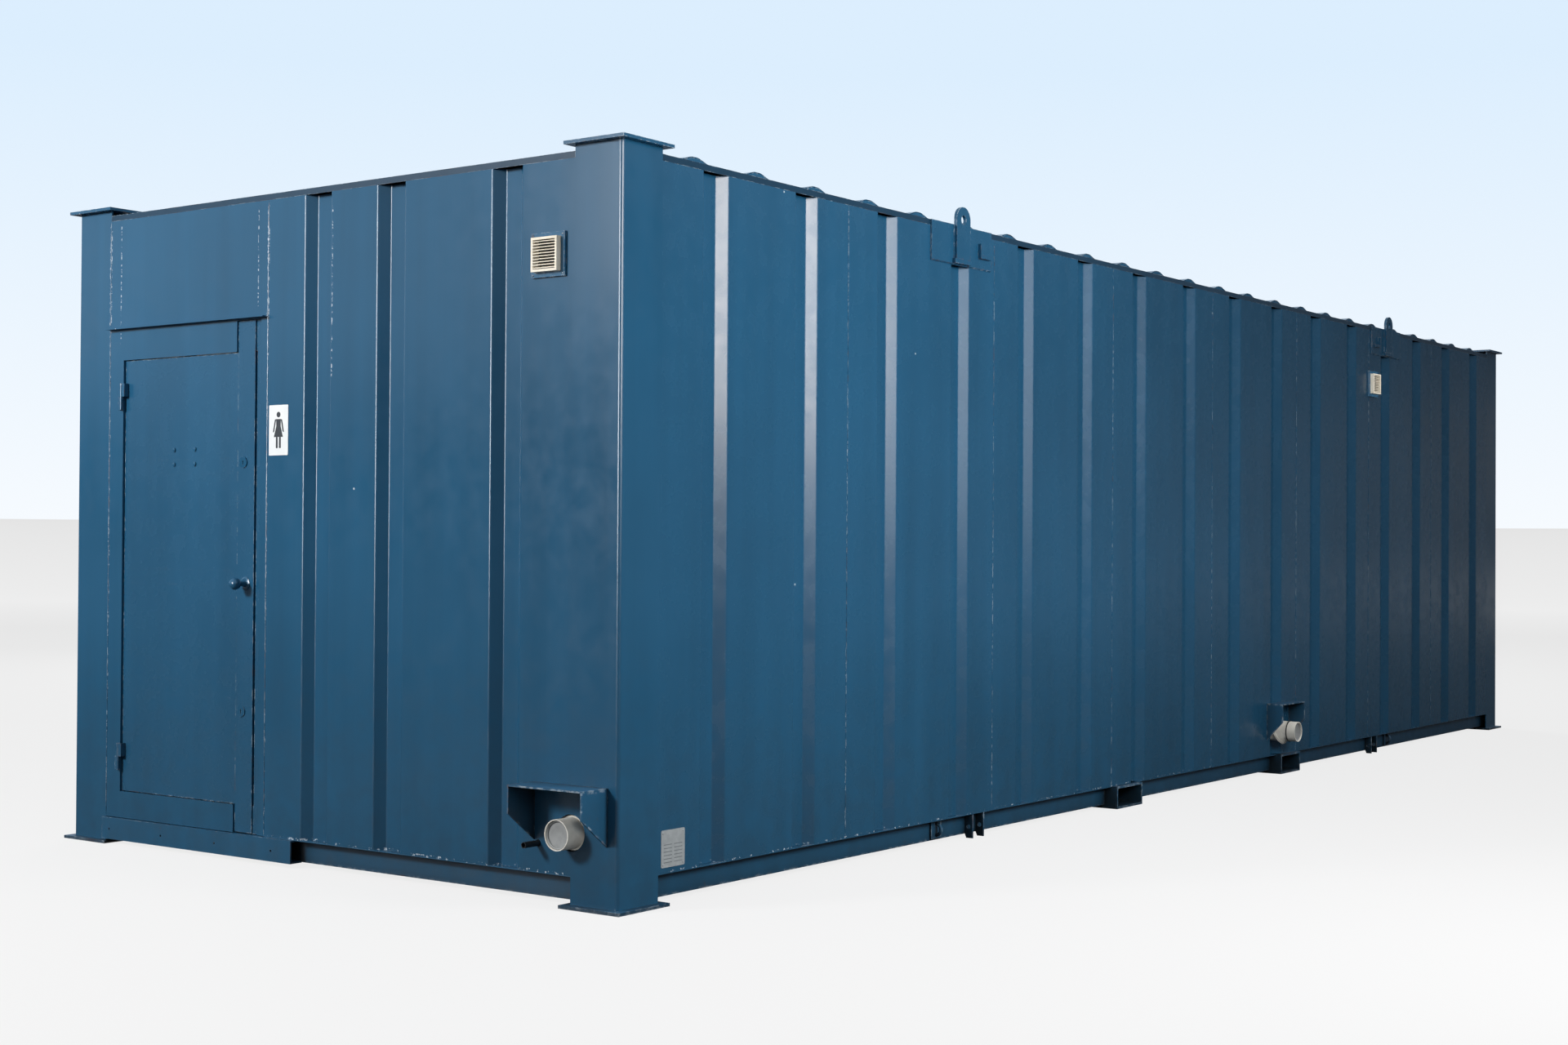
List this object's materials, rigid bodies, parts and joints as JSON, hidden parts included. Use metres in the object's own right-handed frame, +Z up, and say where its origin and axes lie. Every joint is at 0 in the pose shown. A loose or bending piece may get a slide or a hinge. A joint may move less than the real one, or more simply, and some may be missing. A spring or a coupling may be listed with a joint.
{
  "type": "toilet block",
  "caption": "Portable steel toilet block with folded wall sheets, an outward-opening door, lifting eyes, fork pockets, and cubicles and a wash trough inside.",
  "frame": {"origin": "middle of the bounding box, on the ground under the foot plates", "axes": "+X along the block from the door end to the far end, +Y across it to the rear, +Z up"},
  "size_m": [9.766, 3.216, 2.7248],
  "materials": {
    "blue_paint": "satin",
    "galvanised_steel": "matt",
    "cream_plastic": "matt",
    "grey_plastic": "matt",
    "blue_plastic": "satin",
    "timber": "sawn",
    "vinyl_floor": "matt",
    "white_lining": "satin",
    "laminate": "satin",
    "satin_aluminium": "satin",
    "vitreous_china": "gloss",
    "white_plastic": "gloss",
    "chrome": "polished",
    "stainless_steel": "brushed",
    "lock_steel": "satin"
  },
  "bodies": {
    "block": {"foot_plates": "blue_paint", "corner_posts": "blue_paint", "top_plates": "blue_paint", "base_rails": "blue_paint", "fork_pockets": "blue_paint", "top_rails": "blue_paint", "roof_sheets": "blue_paint", "front_wall_sheets": "blue_paint", "rear_wall_sheets": "blue_paint", "end_wall_sheets": "blue_paint", "door_surround_plates": "blue_paint", "door_frame": "blue_paint", "door_drip_strip": "blue_paint", "threshold_channel": "blue_paint", "lifting_lugs": "blue_paint", "lug_spreader_plates": "blue_paint", "tie_down_brackets": "blue_paint", "vent_frames": "blue_paint", "pipe_hoods": "blue_paint", "door_hinge_pins": "blue_paint", "floor_joists": "galvanised_steel", "vent_grilles": "cream_plastic", "soil_pipes": "grey_plastic", "water_pipe": "blue_plastic", "timber_framing": "timber", "floor_deck": "vinyl_floor", "wall_linings": "white_lining", "ceiling_lining": "white_lining", "pipe_boxing": "white_lining", "cubicle_panels": "laminate", "cubicle_hardware": "satin_aluminium", "wc_pans": "vitreous_china", "wc_cisterns": "vitreous_china", "ceiling_lights": "white_plastic", "tap_spouts": "chrome", "wash_trough": "stainless_steel"},
    "entrance_door": {"door_leaf": "blue_paint", "door_inner_panel": "white_lining", "door_hinge_barrels": "blue_paint", "door_furniture": "blue_paint", "door_lock_cases": "lock_steel"},
    "upper_bolt": {"upper_lock_bolt": "lock_steel"},
    "lower_bolt": {"lower_lock_bolt": "lock_steel"},
    "cubicle_1_door": {"cubicle_door_1": "laminate"},
    "cubicle_1_bolt": {"cubicle_bolt_1": "satin_aluminium"},
    "wc_1_seat": {"wc_seat_1": "white_plastic"},
    "wc_1_lever": {"flush_lever_1": "chrome"},
    "cubicle_2_door": {"cubicle_door_2": "laminate"},
    "cubicle_2_bolt": {"cubicle_bolt_2": "satin_aluminium"},
    "wc_2_seat": {"wc_seat_2": "white_plastic"},
    "wc_2_lever": {"flush_lever_2": "chrome"},
    "cubicle_3_door": {"cubicle_door_3": "laminate"},
    "cubicle_3_bolt": {"cubicle_bolt_3": "satin_aluminium"},
    "wc_3_seat": {"wc_seat_3": "white_plastic"},
    "wc_3_lever": {"flush_lever_3": "chrome"},
    "cubicle_4_door": {"cubicle_door_4": "laminate"},
    "cubicle_4_bolt": {"cubicle_bolt_4": "satin_aluminium"},
    "wc_4_seat": {"wc_seat_4": "white_plastic"},
    "wc_4_lever": {"flush_lever_4": "chrome"}
  },
  "joints": [
    {"name": "entrance_door_swing", "type": "hinge", "parent": "block", "child": "entrance_door", "pos_m": [-4.7555, 1.273, 0], "axis": [0, 0, -1], "range_deg": [0, 110]},
    {"name": "upper_bolt_throw", "type": "slide", "parent": "entrance_door", "child": "upper_bolt", "axis": [0, -1, 0], "range_m": [0, 0.022]},
    {"name": "lower_bolt_throw", "type": "slide", "parent": "entrance_door", "child": "lower_bolt", "axis": [0, -1, 0], "range_m": [0, 0.022]},
    {"name": "cubicle_1_door_swing", "type": "hinge", "parent": "block", "child": "cubicle_1_door", "pos_m": [-4.466, 0.103, 0], "axis": [0, 0, -1], "range_deg": [0, 90]},
    {"name": "cubicle_1_bolt_slide", "type": "slide", "parent": "cubicle_1_door", "child": "cubicle_1_bolt", "axis": [1, 0, 0], "range_m": [0, 0.03]},
    {"name": "wc_1_seat_lift", "type": "hinge", "parent": "block", "child": "wc_1_seat", "pos_m": [-4.176, -1.067, 0.612], "axis": [1, 0, 0], "range_deg": [0, 95]},
    {"name": "wc_1_lever_press", "type": "hinge", "parent": "block", "child": "wc_1_lever", "pos_m": [-4.316, -1.212, 0.913], "axis": [0, 1, 0], "range_deg": [0, 35], "stiffness_Nm_per_rad": 0.6, "springref_deg": -11.46},
    {"name": "cubicle_2_door_swing", "type": "hinge", "parent": "block", "child": "cubicle_2_door", "pos_m": [-3.516, 0.103, 0], "axis": [0, 0, -1], "range_deg": [0, 90]},
    {"name": "cubicle_2_bolt_slide", "type": "slide", "parent": "cubicle_2_door", "child": "cubicle_2_bolt", "axis": [1, 0, 0], "range_m": [0, 0.03]},
    {"name": "wc_2_seat_lift", "type": "hinge", "parent": "block", "child": "wc_2_seat", "pos_m": [-3.226, -1.067, 0.612], "axis": [1, 0, 0], "range_deg": [0, 95]},
    {"name": "wc_2_lever_press", "type": "hinge", "parent": "block", "child": "wc_2_lever", "pos_m": [-3.366, -1.212, 0.913], "axis": [0, 1, 0], "range_deg": [0, 35], "stiffness_Nm_per_rad": 0.6, "springref_deg": -11.46},
    {"name": "cubicle_3_door_swing", "type": "hinge", "parent": "block", "child": "cubicle_3_door", "pos_m": [3.042, 0.103, 0], "axis": [0, 0, -1], "range_deg": [0, 90]},
    {"name": "cubicle_3_bolt_slide", "type": "slide", "parent": "cubicle_3_door", "child": "cubicle_3_bolt", "axis": [1, 0, 0], "range_m": [0, 0.03]},
    {"name": "wc_3_seat_lift", "type": "hinge", "parent": "block", "child": "wc_3_seat", "pos_m": [3.332, -1.067, 0.612], "axis": [1, 0, 0], "range_deg": [0, 95]},
    {"name": "wc_3_lever_press", "type": "hinge", "parent": "block", "child": "wc_3_lever", "pos_m": [3.192, -1.212, 0.913], "axis": [0, 1, 0], "range_deg": [0, 35], "stiffness_Nm_per_rad": 0.6, "springref_deg": -11.46},
    {"name": "cubicle_4_door_swing", "type": "hinge", "parent": "block", "child": "cubicle_4_door", "pos_m": [3.992, 0.103, 0], "axis": [0, 0, -1], "range_deg": [0, 90]},
    {"name": "cubicle_4_bolt_slide", "type": "slide", "parent": "cubicle_4_door", "child": "cubicle_4_bolt", "axis": [1, 0, 0], "range_m": [0, 0.03]},
    {"name": "wc_4_seat_lift", "type": "hinge", "parent": "block", "child": "wc_4_seat", "pos_m": [4.282, -1.067, 0.612], "axis": [1, 0, 0], "range_deg": [0, 95]},
    {"name": "wc_4_lever_press", "type": "hinge", "parent": "block", "child": "wc_4_lever", "pos_m": [4.142, -1.212, 0.913], "axis": [0, 1, 0], "range_deg": [0, 35], "stiffness_Nm_per_rad": 0.6, "springref_deg": -11.46}
  ]
}
